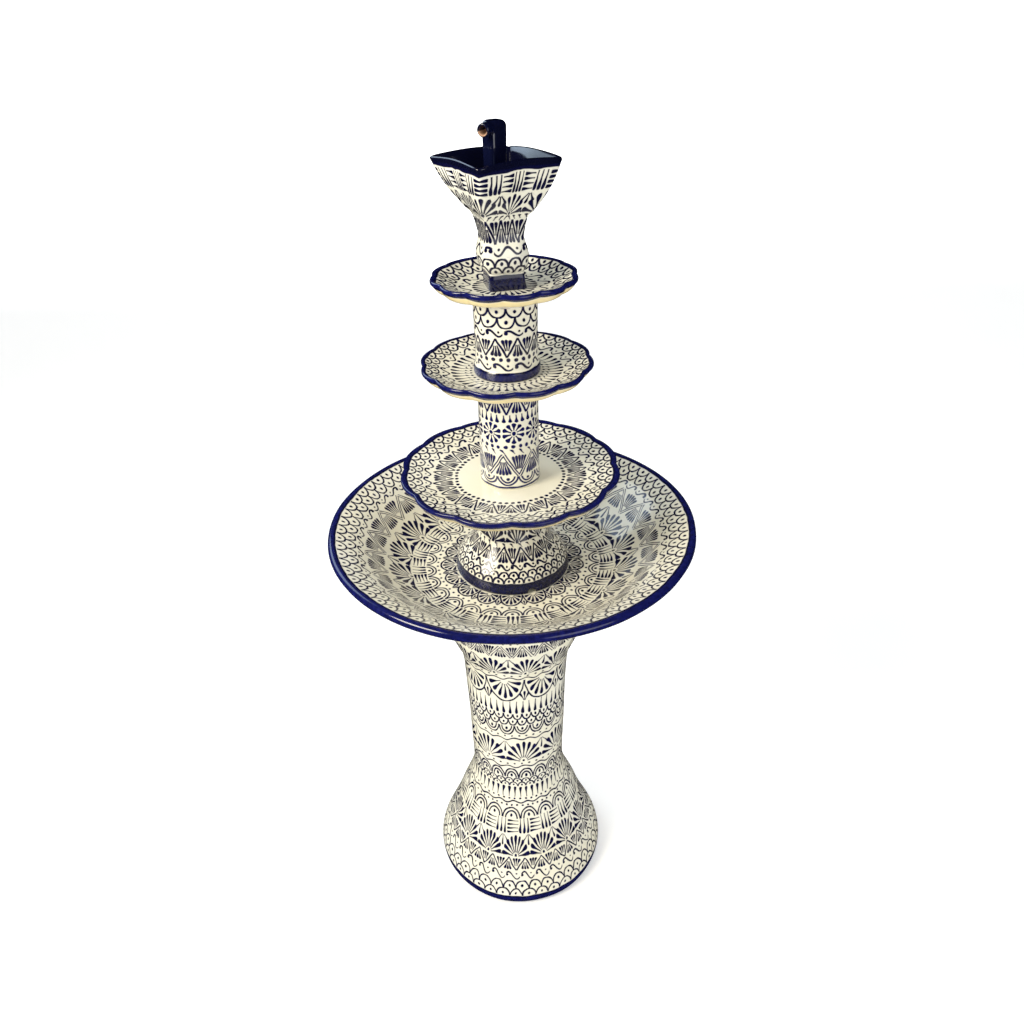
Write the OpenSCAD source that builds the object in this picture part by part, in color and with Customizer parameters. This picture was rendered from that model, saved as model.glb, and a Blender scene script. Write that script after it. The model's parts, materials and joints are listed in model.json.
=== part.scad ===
// Tiered water fountain in glazed pottery. A hollow pedestal carries a wide basin. A flared riser in the
// basin hides a small submersible pump, and three scalloped plates on columns climb to a square, flared
// bowl with a bent spout. Every tier rests on the one below and lifts straight off.

/* [Pedestal] */
// Height of the pedestal
pedestal_h = 700; // [690:1:710]
// Radius of the bell foot at its widest
pedestal_foot_r = 167.5; // [160:0.5:172]
// Thickness of the pedestal's wall
pedestal_wall = 9; // [7:0.5:11]
// Width of the arch for the pump's lead at the back of the foot
lead_arch_w = 24; // [18:1:30]

/* [Basin] */
// Radius of the basin's rim
basin_r = 305; // [298:1:310]
// Height of the basin from its foot ring to its rim
basin_h = 113; // [108:1:118]
// Height of the basin's floor above its foot ring
basin_floor = 24; // [22:0.5:26]
// Thickness of the rubber ring under the basin
gasket_t = 2; // [1:0.5:3]
// Radius of the hole for the pump's lead
lead_hole_r = 12; // [10:0.5:13]

/* [Riser] */
// Height of the flared riser
riser_h = 156; // [150:1:162]
// Radius of the riser's foot
riser_foot_r = 97; // [95:0.5:100]
// Thickness of the wall of the riser and the columns
column_wall = 9; // [7:0.5:10]
// Thickness of the rubber ring under each plate
seal_t = 2; // [1:0.5:3]

/* [Plates] */
// Radius of the large plate over its lobes
large_plate_r = 178; // [174:1:182]
// Radius of the medium plate over its lobes
medium_plate_r = 131.5; // [128:0.5:135]
// Radius of the small plate over its lobes
small_plate_r = 107.5; // [105:0.5:110]
// Number of lobes round each plate
plate_lobes = 12; // [10:1:14]
// Thickness of a plate
plate_wall = 8; // [7:0.5:9]
// Height of a plate's floor above its foot
plate_floor = 14; // [13:0.5:15]

/* [Columns] */
// Height of the lower column
lower_column_h = 167; // [160:1:175]
// Height of the upper column
upper_column_h = 114; // [108:1:120]
// Radius of a column at its top
column_r = 46.6; // [45:0.1:48]

/* [Top bowl] */
// Height of the square bowl
bowl_h = 173; // [170:1:176]
// Radius of the bowl's rim at its corners
bowl_rim_r = 91; // [88:0.5:94]
// Sideways lean of the bowl's rim
bowl_lean = 8; // [0:0.5:9]

/* [Spout] */
// Height of the spout's top above the bowl's foot
spout_h = 219; // [216:1:222]
// Radius of the spout's corners from its middle
spout_r = 16.5; // [16:0.1:17]
// Outside radius of the nozzle
nozzle_r = 7.8; // [7.5:0.1:8.2]
// Radius of the nozzle's bore
nozzle_bore_r = 5; // [4.5:0.1:5.2]
// Direction in which the nozzle points, in degrees to the left of the front
nozzle_turn = 30; // [25:1:35]

/* [Pump] */
// Outside radius of the water tube
tube_r = 8; // [7.8:0.1:8.2]
// Inside radius of the water tube
tube_bore_r = 6; // [5.8:0.1:6.2]
// Width of the pump's housing
pump_w = 44; // [42:0.5:46]
// Height of the pump's housing
pump_h = 42; // [41:0.5:43]
// Length of the pump's housing behind its impeller chamber
pump_l = 38; // [37:0.5:39]
// Radius of the rotor's magnet
rotor_r = 8; // [7.5:0.1:8.2]
// Number of vanes on the impeller
vanes = 6; // [4:1:8]

/* [Hidden] */
$fn = 96;

// Small amounts shared by the cuts and the fits
past = 1;            // how far a cut runs past a face
run_gap = 0.05;      // radial clearance of a sliding or turning fit
outline_steps = 4;   // straight steps in each span of a smooth outline

// Heights of the tiers
basin_z = pedestal_h + gasket_t;
riser_z = basin_z + basin_floor;
large_z = riser_z + riser_h + seal_t;
lower_z = large_z + plate_floor;
medium_z = lower_z + lower_column_h + seal_t;
upper_z = medium_z + plate_floor;
small_z = upper_z + upper_column_h + seal_t;
bowl_z = small_z + plate_floor;

// Outlines as [radius, height] from each piece's own foot
pedestal_line = [[160, 0], [167.5, 20], [162, 45], [147, 80], [131, 120], [117, 160], [101, 200],
                 [91, 235], [88.5, 270], [90, 340], [92, 420], [95, 500], [97, 525], [101.5, 550],
                 [111, 575], [120, 600], [125.5, 625], [128, 660], [129, 700]];
pedestal_foot_w = 12;      // width of the ring that the pedestal stands on
pedestal_seat_r = 95;      // inner radius of the seat under the basin
pedestal_seat_t = 12;      // thickness of that seat

basin_inner_line = [[140, 24], [165, 26], [190, 37], [215, 56], [238, 77], [259, 93], [275, 102],
                    [290, 109], [298, 113]];
basin_outer_line = [[305, 105], [302, 99], [290, 96], [268, 86], [247, 70], [224, 50], [200, 30],
                    [172, 16], [150, 13], [119, 11]];
basin_foot_in = 100;       // inner radius of the foot ring
basin_foot_out = 115;      // outer radius of the foot ring
basin_foot_h = 10;         // height of the foot ring
basin_floor_t = 12;        // thickness of the floor
lead_hole_y = 62;          // the lead's hole lies behind the pump

riser_line = [[97, 0], [96, 9], [93, 20], [89.5, 28], [83, 36], [75, 44], [68.5, 52], [62.5, 60],
              [57, 68], [52, 76], [48, 86], [46.2, 99], [46, 156]];
riser_notches = 3;         // water gets to the pump through these
riser_notch_w = 14;
riser_notch_h = 9;
riser_notch_turn = 18;     // the first notch, in degrees to the right of the front

lower_line = [[48.5, 0], [48, 6], [47.5, 30], [46.8, 100], [46.6, 167]];
upper_line = [[50, 0], [50.5, 3], [50.5, 12], [49, 14], [47.3, 17], [47, 60], [47, 114]];

// Plates
plate_foot_in = 36;
plate_foot_out = 54;
plate_hole_r = 11;
plate_rise = 17;           // from a plate's floor to its rim
plate_curve = 1.6;         // how late the floor turns up
plate_steps = 14;          // straight steps from the floor to the rim
grommet_flange_r = 14;
grommet_flange_t = 2;
seal_in = 38;
seal_out = 46;

// Sections of the square bowl: [height, corner radius, turn of the front corner, squareness, hollow sides]
bowl_outside = [[0, 36.5, -33, 9, 0], [22, 33.5, -33, 9, 0], [24.5, 32.5, -33, 7, 0],
                [27, 35.5, -32, 4, 0], [36, 39, -32, 3.2, 0], [47, 40.5, -31, 3, 0],
                [57, 38.5, -30, 3.4, 0], [66, 36, -29, 4.5, 0], [80, 37.5, -28, 6, 0.01],
                [99, 43, -27, 7, 0.02], [106, 51, -25, 8, 0.02], [128, 69, -19, 9, 0.03],
                [150, 81.5, -15, 10, 0.04], [166, 88.5, -13, 10, 0.05], [173, 91, -12, 10, 0.06]];
bowl_inside = [[173, 83, -12, 10, 0.06], [166, 79, -13, 10, 0.05], [150, 71, -15, 9, 0.04],
               [132, 58, -18, 8, 0.03], [120, 40, -21, 6, 0.02], [116, 24, -22, 4, 0]];
bowl_points = 48;          // points round each section
bowl_lip_rise = 5;         // the middles of the rim's sides stand this much over its corners
bowl_floor = 116;          // height of the bowl's floor
neck_bore_r = 12;
neck_bore_h = 106;

// Spout
spout_x = -bowl_lean;
spout_foot_z = bowl_z + bowl_floor;
spout_corner_r = 4;
spout_turn = 12;           // its front corner turns left with the bowl's rim
spout_dome_r = 22;
channel_r = 3.8;
nozzle_z = 211;            // height of the nozzle's root above the bowl's foot
nozzle_l = 30;             // from the spout's middle to the mouth
nozzle_bore_l = 20;
nozzle_dip = 4;            // the nozzle points down by this many degrees

// Tube and bushing
bushing_z = 84;            // above the bowl's foot
bushing_h = 16;
tube_foot_z = riser_z + 50;
tube_top_z = bowl_z + bushing_z + bushing_h + 2;

// Pump, with its axis along Y and its outlet on the fountain's axis
cup_h = 7;
pump_z = riser_z + cup_h;
axis_z = pump_z + pump_h / 2;
chamber_l = 18;            // the impeller chamber, half of it on each side of the outlet
chamber_front = -chamber_l / 2;
housing_front = chamber_l / 2;
housing_back = housing_front + pump_l;
volute_r = 20;
volute_bore_r = 17;
wall = 2;                  // moulded walls of the pump
cap_t = 3;
well_r = rotor_r + 0.6;
well_l = 28;
nipple_bore_r = 4.5;
nipple_top_z = riser_z + 64;
inlet_r = 8;
hub_r = 4;
shaft_r = 1.25;
shaft_front = chamber_front + 0.5;
shaft_back = housing_front + well_l - wall;
cover_r = 20.5;
cover_l = 15;
cover_front = chamber_front - cover_l;
dial_r = 17.5;
dial_t = 2;
dial_pin_r = 3;
grille_slots = 10;
grille_in = 7;             // the slots run from here to the dial's edge, less one wall

// Catmull-Rom curve through a list of points
function between(a, b, c, d, t) =
    0.5 * (2 * b + (c - a) * t + (2 * a - 5 * b + 4 * c - d) * t * t
           + (3 * b - a - 3 * c + d) * t * t * t);
function smooth(p, steps = outline_steps) =
    [for (i = [0:len(p) - 2], k = [0:steps - 1])
        between(p[max(i - 1, 0)], p[i], p[i + 1], p[min(i + 2, len(p) - 1)], k / steps),
     p[len(p) - 1]];
function backwards(p) = [for (i = [len(p) - 1:-1:0]) p[i]];
function last(p) = p[len(p) - 1];
// An outline made taller, and wider at its foot, than the one it is drawn at
function sized(p, r_by, z_by) = [for (q = p) [q[0] * r_by, q[1] * z_by]];
function thinned(p, t) = [for (q = p) [q[0] - t, q[1]]];

module lathe(outline) {
    rotate_extrude() polygon(outline);
}

module ring(outer_r, inner_r, h) {
    difference() {
        cylinder(r = outer_r, h = h);
        translate([0, 0, -past]) cylinder(r = inner_r, h = h + 2 * past);
    }
}

// The slots that let water through the intake's face, from y0 to y1
module grille(y0, y1) {
    for (i = [0:grille_slots - 1])
        translate([0, y0, axis_z]) rotate([0, 360 * (i + 0.5) / grille_slots, 0])
            translate([-1.5, 0, grille_in]) cube([3, y1 - y0, dial_r - wall - grille_in]);
}

// A cylinder along +Y from y0 to y1 on the pump's axis
module along_y(r, y0, y1) {
    translate([0, y1, axis_z]) rotate([90, 0, 0]) cylinder(r = r, h = y1 - y0);
}

// A tube whose outside follows an outline and whose wall is even
module thrown_tube(line, wall_t) {
    outer = smooth(line);
    inner = thinned(outer, wall_t);
    lathe(concat(outer, backwards(inner)));
}

module pedestal() {
    line = smooth(sized(pedestal_line, 1, pedestal_h / 700));
    shell = [for (p = line) [p[0] + (pedestal_foot_r - 167.5) * max(0, 1 - p[1] / 200), p[1]]];
    inner = [for (p = shell) if (p[1] > 12 && p[1] < pedestal_h - pedestal_seat_t)
             [p[0] - pedestal_wall, p[1]]];
    color("ivory") difference() {
        lathe(concat(
            shell,
            [[pedestal_seat_r, pedestal_h], [pedestal_seat_r, pedestal_h - pedestal_seat_t]],
            backwards(inner),
            [[shell[0][0] - pedestal_foot_w, 0]]));
        translate([-lead_arch_w / 2, 100, -past]) cube([lead_arch_w, 100, 9 + past]);
        translate([0, 200, 9]) rotate([90, 0, 0]) cylinder(r = lead_arch_w / 2, h = 100);
    }
}

module basin_gasket() {
    color("dimgray") translate([0, 0, pedestal_h]) ring(basin_foot_out, basin_foot_in, gasket_t);
}

module basin() {
    grow = basin_r - 305;
    up = basin_h - 113;
    inner = smooth([for (p = basin_inner_line)
                    [p[0] + grow * (p[0] - 140) / 165,
                     p[1] + (basin_floor - 24) * (298 - p[0]) / 158 + up * (p[0] - 140) / 158]]);
    outer = smooth([for (p = basin_outer_line)
                    [p[0] + grow * (p[0] - 119) / 186, p[1] + up * (p[0] - 119) / 186]]);
    under = basin_floor - basin_floor_t;
    color("ivory") translate([0, 0, basin_z]) difference() {
        lathe(concat(
            [[0, basin_floor]], inner, [[basin_r - 2.5, basin_h - 1.2]], outer,
            [[basin_foot_out, basin_foot_h - 2], [basin_foot_out, 0], [basin_foot_in, 0],
             [basin_foot_in, under], [0, under]]));
        translate([0, lead_hole_y, 0]) cylinder(r = lead_hole_r, h = basin_h);
    }
}

// A grommet fills its hole and holds the wall between two flanges
module grommet(hole_r, bore_r, flange_r, wall_z, wall_t) {
    difference() {
        union() {
            translate([0, 0, wall_z]) cylinder(r = hole_r, h = wall_t);
            translate([0, 0, wall_z - grommet_flange_t]) cylinder(r = flange_r, h = grommet_flange_t);
            translate([0, 0, wall_z + wall_t]) cylinder(r = flange_r, h = grommet_flange_t);
        }
        translate([0, 0, wall_z - grommet_flange_t - past])
            cylinder(r = bore_r, h = wall_t + 2 * grommet_flange_t + 2 * past);
    }
}

module basin_grommet() {
    color("dimgray") translate([0, lead_hole_y, basin_z])
        grommet(lead_hole_r, 4.2, lead_hole_r + 4.5, basin_floor - basin_floor_t, basin_floor_t);
}

module riser() {
    widen = riser_foot_r - 97;
    line = [for (p = riser_line)
            [p[0] + widen * max(0, 1 - p[1] / 60), p[1] * riser_h / 156]];
    color("ivory") translate([0, 0, riser_z]) difference() {
        thrown_tube(line, column_wall);
        for (i = [0:riser_notches - 1])
            rotate([0, 0, riser_notch_turn + i * 360 / riser_notches - 90]) {
                translate([70, -riser_notch_w / 2, -past])
                    cube([40, riser_notch_w, riser_notch_h - riser_notch_w / 2 + past]);
                translate([70, 0, riser_notch_h - riser_notch_w / 2])
                    rotate([0, 90, 0]) cylinder(r = riser_notch_w / 2, h = 40);
            }
    }
}

module seal(z) {
    color("dimgray") translate([0, 0, z]) ring(seal_out, seal_in, seal_t);
}

module riser_seal() { seal(large_z - seal_t); }
module column_lower_seal() { seal(medium_z - seal_t); }
module column_upper_seal() { seal(small_z - seal_t); }

// Height of a plate's upper face at a radius
function plate_top(r, rim_r) =
    let (flat_r = rim_r / 2, reach = rim_r - 3 - flat_r)
    plate_floor + plate_rise * pow(max(0, r - flat_r) / reach, plate_curve);

// A round plate cut to lobes, which meet in notches
module scalloped_plate(rim_r) {
    flat_r = rim_r / 2;
    lip_r = rim_r - 3;
    foot_join = plate_foot_out + 2;
    top = [for (i = [0:plate_steps]) let (r = flat_r + (lip_r - flat_r) * i / plate_steps)
           [r, plate_top(r, rim_r)]];
    bottom = [for (i = [plate_steps:-1:0])
              let (r = foot_join + (rim_r - 3 - foot_join) * i / plate_steps)
              [r, plate_top(r, rim_r) - plate_wall]];
    lip_z = last(top)[1];
    color("ivory") intersection() {
        difference() {
            lathe(concat(
                [[0, plate_floor]], top,
                [[rim_r - 0.6, lip_z - 1.4], [rim_r, lip_z - 3.5], [rim_r - 0.4, lip_z - 6]],
                bottom,
                [[plate_foot_out, 0], [plate_foot_in, 0], [plate_foot_in, plate_floor - plate_wall],
                 [0, plate_floor - plate_wall]]));
            translate([0, 0, -past]) cylinder(r = plate_hole_r, h = plate_floor + 2 * past);
        }
        translate([0, 0, -past]) linear_extrude(plate_floor + plate_rise + 2 * past) union() {
            circle(r = rim_r * 0.8);
            for (i = [0:plate_lobes - 1])
                rotate((i + 0.5) * 360 / plate_lobes) translate([0, -rim_r / 2]) circle(r = rim_r / 2);
        }
    }
}

module plate_large() { translate([0, 0, large_z]) scalloped_plate(large_plate_r); }
module plate_medium() { translate([0, 0, medium_z]) rotate([0, 0, 5]) scalloped_plate(medium_plate_r); }
module plate_small() { translate([0, 0, small_z]) rotate([0, 0, -2]) scalloped_plate(small_plate_r); }

module plate_grommet(z) {
    color("dimgray") translate([0, 0, z])
        grommet(plate_hole_r, tube_r + run_gap, grommet_flange_r, plate_floor - plate_wall, plate_wall);
}

module plate_large_grommet() { plate_grommet(large_z); }
module plate_medium_grommet() { plate_grommet(medium_z); }
module plate_small_grommet() { plate_grommet(small_z); }

module column_lower() {
    line = sized(lower_line, column_r / 46.6, lower_column_h / 167);
    color("ivory") translate([0, 0, lower_z]) thrown_tube(line, column_wall);
}

module column_upper() {
    line = sized(upper_line, column_r / 46.6, upper_column_h / 114);
    color("ivory") translate([0, 0, upper_z]) thrown_tube(line, column_wall);
}

// Radius of a rounded square at an angle from its corner, as a share of the corner's radius
function square_r(angle, squareness, hollow) =
    let (c = abs(cos(angle + 45)), s = abs(sin(angle + 45)),
         norm = pow(pow(c, squareness) + pow(s, squareness), 1 / squareness),
         corner = pow(2 * pow(sqrt(0.5), squareness), 1 / squareness))
    corner / norm * (1 - hollow * (1 - cos(4 * angle)) / 2);

// One section of the bowl as points round it, leaning and lifted between its corners near the rim
function bowl_section(s) =
    let (h = s[0] * bowl_h / 173, grow = (bowl_rim_r - 91) * pow(s[0] / 173, 3),
         lean = -bowl_lean * s[0] / 173, lip = bowl_lip_rise * pow(max(0, s[0] - 100) / 73, 3))
    [for (i = [0:bowl_points - 1])
        let (a = 360 * i / bowl_points, r = (s[1] + grow) * square_r(a, s[3], s[4]),
             turn = s[2] + a - 90)
        [lean + r * cos(turn), r * sin(turn), h + lip * (1 - cos(4 * a)) / 2]];

// A skin over rings of points, closed with a cap at each end
module skin(rings) {
    n = len(rings[0]);
    count = len(rings);
    sides = [for (j = [0:count - 2], i = [0:n - 1], half = [0, 1])
             let (a = j * n + i, b = j * n + (i + 1) % n)
             half == 0 ? [a, a + n, b + n] : [a, b + n, b]];
    foot = [for (i = [1:n - 2]) [0, i, i + 1]];
    top = (count - 1) * n;
    head = [for (i = [1:n - 2]) [top, top + i + 1, top + i]];
    polyhedron(points = [for (r = rings) each r], faces = concat(sides, foot, head), convexity = 6);
}

module top_bowl() {
    color("ivory") translate([0, 0, bowl_z]) difference() {
        skin([for (s = concat(bowl_outside, bowl_inside)) bowl_section(s)]);
        translate([0, 0, -past]) cylinder(r = neck_bore_r, h = neck_bore_h + past);
        translate([0, 0, -past]) cylinder(r = grommet_flange_r + 1.5, h = 4 + past);
        translate([spout_x, 0, neck_bore_h - past]) cylinder(r = channel_r, h = bowl_floor);
    }
}

// Outline of the spout: a square with round corners, one corner to the front
module spout_outline() {
    inset = spout_r - spout_corner_r;
    polygon([for (corner = [0:3], step = [-3:3])
             let (to = corner * 90 - 90 - spout_turn, a = to + step * 15)
             [inset * cos(to) + spout_corner_r * cos(a), inset * sin(to) + spout_corner_r * sin(a)]]);
}

module at_nozzle() {
    translate([spout_x, 0, bowl_z + nozzle_z]) rotate([0, 0, -nozzle_turn])
        rotate([90 + nozzle_dip, 0, 0]) children();
}

module spout() {
    top_z = spout_h - bowl_floor;
    color("midnightblue") difference() {
        union() {
            translate([spout_x, 0, spout_foot_z]) intersection() {
                linear_extrude(top_z + past) spout_outline();
                lathe(concat(
                    [[0, 0], [spout_dome_r, 0]],
                    [for (a = [0:9:90]) [spout_dome_r * cos(a), top_z - spout_dome_r * (1 - sin(a))]]));
            }
            at_nozzle() cylinder(r = nozzle_r, h = nozzle_l);
        }
        translate([spout_x, 0, spout_foot_z - past])
            cylinder(r = channel_r, h = nozzle_z - bowl_floor + past + channel_r);
        at_nozzle() translate([0, 0, nozzle_l - nozzle_bore_l])
            cylinder(r = nozzle_bore_r, h = nozzle_bore_l + past);
        at_nozzle() cylinder(r = channel_r - 0.8, h = nozzle_l);
    }
}

module spout_bushing() {
    color("dimgray") translate([0, 0, bowl_z + bushing_z]) ring(neck_bore_r, tube_r + run_gap, bushing_h);
}

module supply_tube() {
    color("lightcyan") translate([0, 0, tube_foot_z]) ring(tube_r, tube_bore_r, tube_top_z - tube_foot_z);
}

module hose_clamp() {
    band_z = tube_foot_z + 3;
    color("silver") difference() {
        union() {
            translate([0, 0, band_z]) ring(tube_r + 1.2, tube_r, 7);
            translate([tube_r + 0.6, -4, band_z]) cube([6, 8, 7]);
        }
        translate([tube_r + 4, 10, band_z + 3.5]) rotate([90, 0, 0]) cylinder(r = 1.5, h = 20);
    }
}

module pump_housing() {
    color("darkslategray") difference() {
        union() {
            difference() {
                translate([-pump_w / 2, housing_front, pump_z]) cube([pump_w, pump_l - cap_t, pump_h]);
                translate([-pump_w / 2 + wall, housing_front + wall, pump_z + wall])
                    cube([pump_w - 2 * wall, pump_l, pump_h - 2 * wall]);
            }
            along_y(well_r + wall, housing_front, housing_front + well_l);
        }
        along_y(well_r, housing_front - past, housing_front + well_l - wall);
    }
}

module pump_rear_cap() {
    color("darkslategray") difference() {
        translate([-pump_w / 2, housing_back - cap_t, pump_z]) cube([pump_w, cap_t, pump_h]);
        along_y(4, housing_back - cap_t - past, housing_back + past);
    }
}

module pump_volute() {
    color("darkslategray") difference() {
        union() {
            along_y(volute_r, chamber_front, housing_front);
            translate([0, 0, axis_z]) cylinder(r = tube_bore_r, h = nipple_top_z - axis_z);
        }
        along_y(volute_bore_r, chamber_front + wall, housing_front + past);
        translate([0, 0, axis_z]) cylinder(r = nipple_bore_r, h = nipple_top_z);
        difference() {
            along_y(inlet_r, chamber_front - past, chamber_front + wall + past);
            along_y(hub_r, chamber_front - past, chamber_front + wall + 2 * past);
            for (i = [0:2])
                translate([0, chamber_front, axis_z]) rotate([0, 120 * i, 0])
                    translate([-1.25, -2 * past, 0]) cube([2.5, wall + 4 * past, inlet_r + past]);
        }
        along_y(shaft_r + wall / 2, chamber_front + 0.5, chamber_front + wall + past);
    }
}

module pump_volute_seal() {
    color("dimgray") difference() {
        along_y(volute_bore_r, housing_front - 1.5, housing_front);
        along_y(volute_bore_r - 1.5, housing_front - 3, housing_front + past);
    }
}

module pump_intake_cover() {
    color("darkslategray") difference() {
        along_y(cover_r, cover_front, chamber_front);
        along_y(cover_r - wall, cover_front + wall, chamber_front + past);
        along_y(dial_pin_r + run_gap, cover_front - past, cover_front + wall + past);
        grille(cover_front - past, cover_front + wall + past);
        for (i = [0:grille_slots - 1])
            translate([0, cover_front + 4, axis_z]) rotate([0, 360 * i / grille_slots, 0])
                translate([-1.5, 0, cover_r - wall - past]) cube([3, cover_l - 7, 2 * wall]);
    }
}

module pump_rotor() {
    color("dimgray") difference() {
        along_y(rotor_r, housing_front + 2, housing_front + 24);
        along_y(shaft_r + run_gap, housing_front, housing_front + 26);
    }
}

module pump_impeller() {
    front = chamber_front + 5;
    back = housing_front + 2;
    color("whitesmoke") difference() {
        union() {
            along_y(3, front, back);
            along_y(14, housing_front - 3.5, housing_front - 2);
            for (i = [0:vanes - 1])
                translate([0, front, axis_z]) rotate([0, 360 * i / vanes, 0])
                    translate([-0.75, 0, 0]) cube([1.5, housing_front - 3 - front, 14]);
        }
        along_y(shaft_r + run_gap, front - past, back + past);
    }
}

module pump_shaft() {
    color("white") along_y(shaft_r, shaft_front, shaft_back);
}

module shaft_bushings() {
    color("black") {
        difference() {
            along_y(shaft_r + wall / 2, shaft_front, shaft_front + 2.5);
            along_y(shaft_r, shaft_front - past, shaft_front + 2.5 + past);
        }
        difference() {
            along_y(3, shaft_back - 1.5, shaft_back);
            along_y(shaft_r, shaft_back - 1.5 - past, shaft_back + past);
        }
    }
}

module stator_core() {
    leg_in = well_r + wall + 0.2;
    color("gray") {
        for (side = [-1, 1])
            translate([side * (leg_in + 2.5) - 2.5, housing_front + wall + 1, axis_z - 8])
                cube([5, 30, 16]);
        translate([-leg_in, housing_back - cap_t - 5, axis_z - 6]) cube([2 * leg_in, 3, 12]);
    }
}

module stator_coil() {
    leg_in = well_r + wall + 0.2;
    color("peru") difference() {
        translate([-leg_in + 1.5, housing_back - cap_t - 6.4, axis_z - 11]) cube([2 * leg_in - 3, 5.8, 22]);
        translate([-leg_in, housing_back - cap_t - 5, axis_z - 6]) cube([2 * leg_in, 3, 12]);
    }
}

module filter_sponge() {
    color("darkslateblue") difference() {
        along_y(cover_r - wall - 0.3, cover_front + wall + 4, chamber_front);
        along_y(inlet_r, cover_front, chamber_front + past);
    }
}

module flow_dial() {
    front = cover_front - dial_t;
    color("royalblue") {
        difference() {
            along_y(dial_r, front, cover_front - 0.1);
            grille(front - past, cover_front + past);
        }
        along_y(dial_pin_r, front, cover_front + wall + past);
        along_y(5, front - 1, front);
        translate([-1.25, front - 4, axis_z - 5]) cube([2.5, 4, 10]);
    }
}

module suction_cups() {
    color("dimgray") for (x = [-1, 1], y = [housing_front + 8, housing_back - 8])
        translate([x * (pump_w / 2 - 8), y, riser_z])
            lathe([[0, 2], [4, 1.4], [6.6, 0], [7.2, 0], [6.6, 1.6], [3.4, 3.6], [2.4, 5],
                   [2.4, cup_h], [0, cup_h]]);
}

module cord_gland() {
    color("black") difference() {
        union() {
            along_y(4, housing_back - cap_t, housing_back);
            along_y(5.5, housing_back, housing_back + 4);
            translate([0, housing_back + 16, axis_z]) rotate([90, 0, 0]) cylinder(r1 = 3.8, r2 = 4.8, h = 12);
        }
        along_y(3, housing_back - cap_t - past, housing_back + 16 + past);
    }
}

pedestal();
basin_gasket();
basin();
basin_grommet();
riser();
riser_seal();
plate_large();
plate_large_grommet();
column_lower();
column_lower_seal();
plate_medium();
plate_medium_grommet();
column_upper();
column_upper_seal();
plate_small();
plate_small_grommet();
top_bowl();
spout();
spout_bushing();
supply_tube();
hose_clamp();
pump_housing();
pump_rear_cap();
pump_volute();
pump_volute_seal();
pump_intake_cover();
pump_rotor();
pump_impeller();
pump_shaft();
shaft_bushings();
stator_core();
stator_coil();
filter_sponge();
flow_dial();
suction_cups();
cord_gland();
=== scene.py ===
"""Looks of a tiered pottery fountain: thrown and scalloped ware with hand-painted navy rows on cream glaze.

Outlines are in millimetres from each piece's own foot, and every piece is set on the foot of its CAD node.
"""
import json
import math
from functools import partial

import bmesh
import bpy
from mathutils import Matrix, Vector, noise


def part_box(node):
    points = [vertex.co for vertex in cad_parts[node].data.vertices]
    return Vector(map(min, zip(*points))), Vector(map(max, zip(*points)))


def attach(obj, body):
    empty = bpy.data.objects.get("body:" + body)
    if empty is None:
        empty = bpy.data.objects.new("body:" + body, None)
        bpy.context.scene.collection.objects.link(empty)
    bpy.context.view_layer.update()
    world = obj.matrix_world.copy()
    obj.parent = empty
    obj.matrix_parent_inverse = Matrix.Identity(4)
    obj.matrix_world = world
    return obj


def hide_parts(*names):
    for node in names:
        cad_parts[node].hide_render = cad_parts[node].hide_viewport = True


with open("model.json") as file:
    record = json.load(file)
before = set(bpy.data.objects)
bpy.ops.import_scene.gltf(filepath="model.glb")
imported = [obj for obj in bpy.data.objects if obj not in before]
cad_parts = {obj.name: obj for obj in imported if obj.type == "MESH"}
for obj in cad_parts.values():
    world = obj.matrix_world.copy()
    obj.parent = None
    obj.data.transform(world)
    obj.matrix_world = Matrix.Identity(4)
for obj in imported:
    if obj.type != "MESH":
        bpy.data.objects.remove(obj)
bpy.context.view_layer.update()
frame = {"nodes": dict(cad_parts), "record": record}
NODES = frame["nodes"]
MM = 0.001
TAU = 2 * math.pi


# ---------------------------------------------------------------- shader maths

class Value:
    """One output of a material's node, with arithmetic on it."""

    def __init__(self, finish, socket):
        self.finish, self.socket = finish, socket

    def op(self, operation, *others, clamp=False):
        values = dict(enumerate((self,) + others))
        return self.finish.node("Math", {"operation": operation, "use_clamp": clamp}, values)

    def __add__(self, other):
        return self.op("ADD", other)

    def __mul__(self, other):
        return self.op("MULTIPLY", other)

    def __sub__(self, other):
        return self.op("SUBTRACT", other)

    def __rsub__(self, other):
        return self.finish.node("Math", {"operation": "SUBTRACT"}, {0: other, 1: self})

    def __truediv__(self, other):
        return self.op("DIVIDE", other)

    def __neg__(self):
        return self.op("MULTIPLY", -1.0)

    def __abs__(self):
        return self.op("ABSOLUTE")

    __radd__ = __add__
    __rmul__ = __mul__

    def least(self, other):
        return self.op("MINIMUM", other)

    def most(self, other):
        return self.op("MAXIMUM", other)

    def fraction(self):
        return self.op("FRACT")

    def whole(self):
        return self.op("FLOOR")

    def root(self):
        return self.op("SQRT")

    def clamped(self):
        return self.op("ADD", 0.0, clamp=True)


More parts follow.
